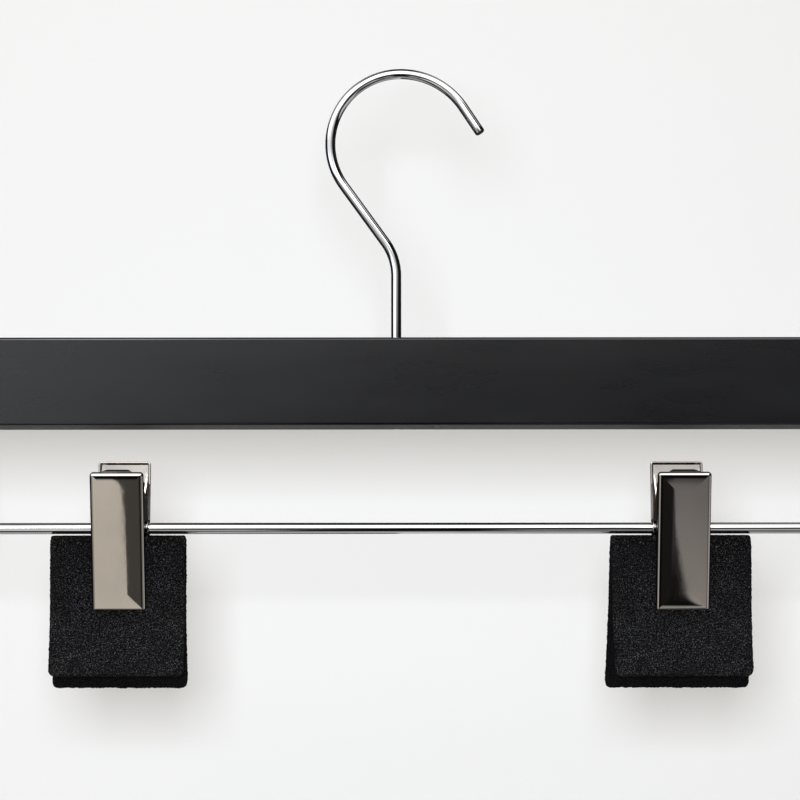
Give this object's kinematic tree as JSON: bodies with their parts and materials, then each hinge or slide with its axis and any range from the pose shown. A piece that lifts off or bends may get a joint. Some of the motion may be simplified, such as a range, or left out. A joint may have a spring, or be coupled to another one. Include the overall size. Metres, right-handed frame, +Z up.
{
  "type": "trouser hanger",
  "caption": "Hanger with a swivel hook, a plain straight bar and a wire rail that carries sliding sprung clips with folded foam pads.",
  "frame": {"origin": "on the inside of the hook's crown, above the shank, where a wardrobe rail holds the hanger up", "axes": "+X along the bar towards the hook's open side, +Y to the back, +Z up; the clips' shorter handles face -Y"},
  "size_m": [0.38, 0.027, 0.234],
  "materials": {
    "hook": "polished",
    "hook_washer": "satin",
    "bar": "satin",
    "clip_rod": "polished",
    "left_front_jaw": "polished",
    "left_rear_jaw": "polished",
    "left_pivot_tube": "polished",
    "left_spring": "satin",
    "left_front_pad": "matte",
    "left_rear_pad": "matte",
    "right_front_jaw": "polished",
    "right_rear_jaw": "polished",
    "right_pivot_tube": "polished",
    "right_spring": "satin",
    "right_front_pad": "matte",
    "right_rear_pad": "matte"
  },
  "bodies": {
    "hook_body": {"hook": "hook", "hook_washer": "hook_washer"},
    "bar_body": {"bar": "bar", "clip_rod": "clip_rod"},
    "left_carrier": {"left_pivot_tube": "left_pivot_tube"},
    "left_rear": {"left_rear_jaw": "left_rear_jaw", "left_rear_pad": "left_rear_pad", "left_spring": "left_spring"},
    "left_front": {"left_front_jaw": "left_front_jaw", "left_front_pad": "left_front_pad"},
    "right_carrier": {"right_pivot_tube": "right_pivot_tube"},
    "right_rear": {"right_rear_jaw": "right_rear_jaw", "right_rear_pad": "right_rear_pad", "right_spring": "right_spring"},
    "right_front": {"right_front_jaw": "right_front_jaw", "right_front_pad": "right_front_pad"}
  },
  "joints": [
    {"name": "hook_swivel", "type": "hinge", "parent": "hook_body", "child": "bar_body", "pos_m": [0, 0, -0.12], "axis": [0, 0, 1], "continuous": true},
    {"name": "left_clip_slide", "type": "slide", "parent": "bar_body", "child": "left_carrier", "axis": [1, 0, 0], "range_m": [-0.0325, 0.079]},
    {"name": "left_clip_swing", "type": "hinge", "parent": "left_carrier", "child": "left_rear", "pos_m": [-0.104, 0, -0.1694], "axis": [1, 0, 0], "range_deg": [-120, 120]},
    {"name": "left_jaw_open", "type": "hinge", "parent": "left_rear", "child": "left_front", "pos_m": [-0.104, 0, -0.1694], "axis": [-1, 0, 0], "range_deg": [0, 36], "stiffness_Nm_per_rad": 0.35, "springref_deg": -45.84, "deforming": ["left_spring"]},
    {"name": "right_clip_slide", "type": "slide", "parent": "bar_body", "child": "right_carrier", "axis": [1, 0, 0], "range_m": [-0.0795, 0.0305]},
    {"name": "right_clip_swing", "type": "hinge", "parent": "right_carrier", "child": "right_rear", "pos_m": [0.1072, 0, -0.1694], "axis": [1, 0, 0], "range_deg": [-120, 120]},
    {"name": "right_jaw_open", "type": "hinge", "parent": "right_rear", "child": "right_front", "pos_m": [0.1072, 0, -0.1694], "axis": [-1, 0, 0], "range_deg": [0, 36], "stiffness_Nm_per_rad": 0.35, "springref_deg": -45.84, "deforming": ["right_spring"]}
  ]
}
